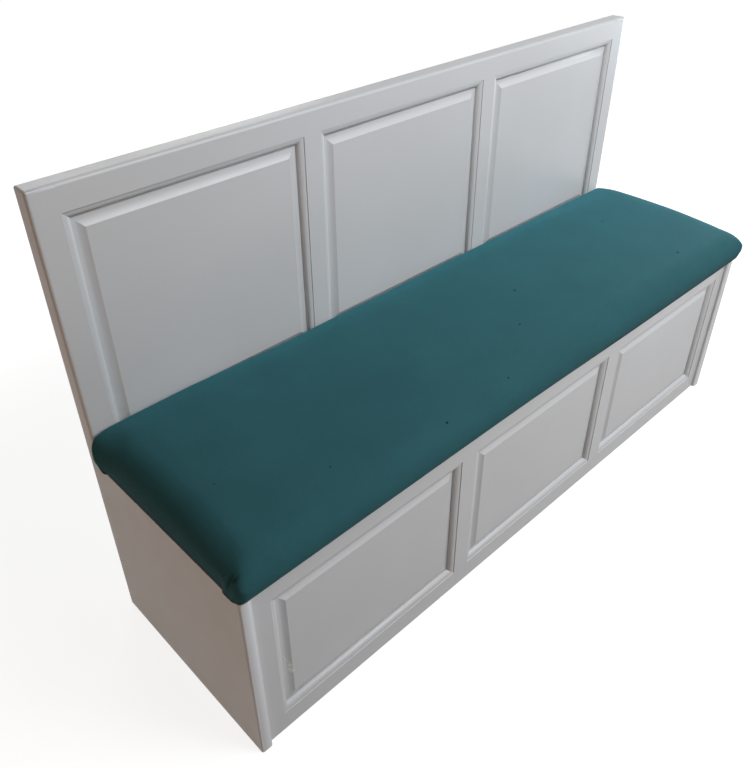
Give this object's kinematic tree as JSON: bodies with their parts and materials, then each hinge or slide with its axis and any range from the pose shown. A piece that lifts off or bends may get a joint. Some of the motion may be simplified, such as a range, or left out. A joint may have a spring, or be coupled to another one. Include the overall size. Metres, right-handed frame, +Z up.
{
  "type": "storage bench",
  "caption": "Painted frame-and-panel storage bench with a high panelled back and a lift-off upholstered seat, the straight unit of a corner set.",
  "frame": {"origin": "on the floor, under the centre of the whole bench", "axes": "+X to the right as seen from the front, -Y towards the sitter's legs, +Z up"},
  "size_m": [1.53, 0.459, 0.9],
  "materials": {
    "painted_wood": "satin light grey paint",
    "plywood": "bare birch plywood",
    "softwood": "bare planed pine",
    "seat_fabric": "teal flat-woven upholstery cloth",
    "foam": "cut upholstery foam",
    "steel": "zinc-plated screws"
  },
  "bodies": {
    "chest": {"left_side_panel": "painted_wood", "right_side_panel": "painted_wood", "front_left_stile": "painted_wood", "front_right_stile": "painted_wood", "front_bottom_rail": "painted_wood", "front_top_rail": "painted_wood", "front_left_muntin": "painted_wood", "front_right_muntin": "painted_wood", "front_left_panel": "painted_wood", "front_middle_panel": "painted_wood", "front_right_panel": "painted_wood", "back_left_stile": "painted_wood", "back_right_stile": "painted_wood", "back_bottom_rail": "painted_wood", "back_seat_rail": "painted_wood", "back_top_rail": "painted_wood", "back_left_muntin": "painted_wood", "back_right_muntin": "painted_wood", "back_left_panel": "painted_wood", "back_middle_panel": "painted_wood", "back_right_panel": "painted_wood", "back_lower_panel": "painted_wood", "base_board": "plywood", "base_front_cleat": "softwood", "base_rear_cleat": "softwood", "base_left_cleat": "softwood", "base_right_cleat": "softwood", "seat_rear_bearer": "softwood", "front_left_batten": "softwood", "front_right_batten": "softwood", "rear_left_batten": "softwood", "rear_right_batten": "softwood", "base_screw_1": "steel", "base_screw_2": "steel", "base_screw_3": "steel", "base_screw_4": "steel", "bearer_screw_1": "steel", "bearer_screw_2": "steel", "corner_screw_1": "steel", "corner_screw_2": "steel", "corner_screw_3": "steel", "corner_screw_4": "steel", "corner_screw_5": "steel", "corner_screw_6": "steel", "corner_screw_7": "steel", "corner_screw_8": "steel"},
    "seat": {"seat_cover": "seat_fabric", "seat_foam": "foam", "seat_board": "plywood", "seat_front_batten": "softwood", "seat_rear_batten": "softwood", "seat_left_batten": "softwood", "seat_right_batten": "softwood", "seat_screw_1": "steel", "seat_screw_2": "steel", "seat_screw_3": "steel", "seat_screw_4": "steel", "seat_screw_5": "steel", "seat_screw_6": "steel"}
  },
  "joints": [
    {"name": "seat_lift", "type": "slide", "parent": "chest", "child": "seat", "axis": [0, 0, 1], "range_m": [0, 0.545]}
  ]
}
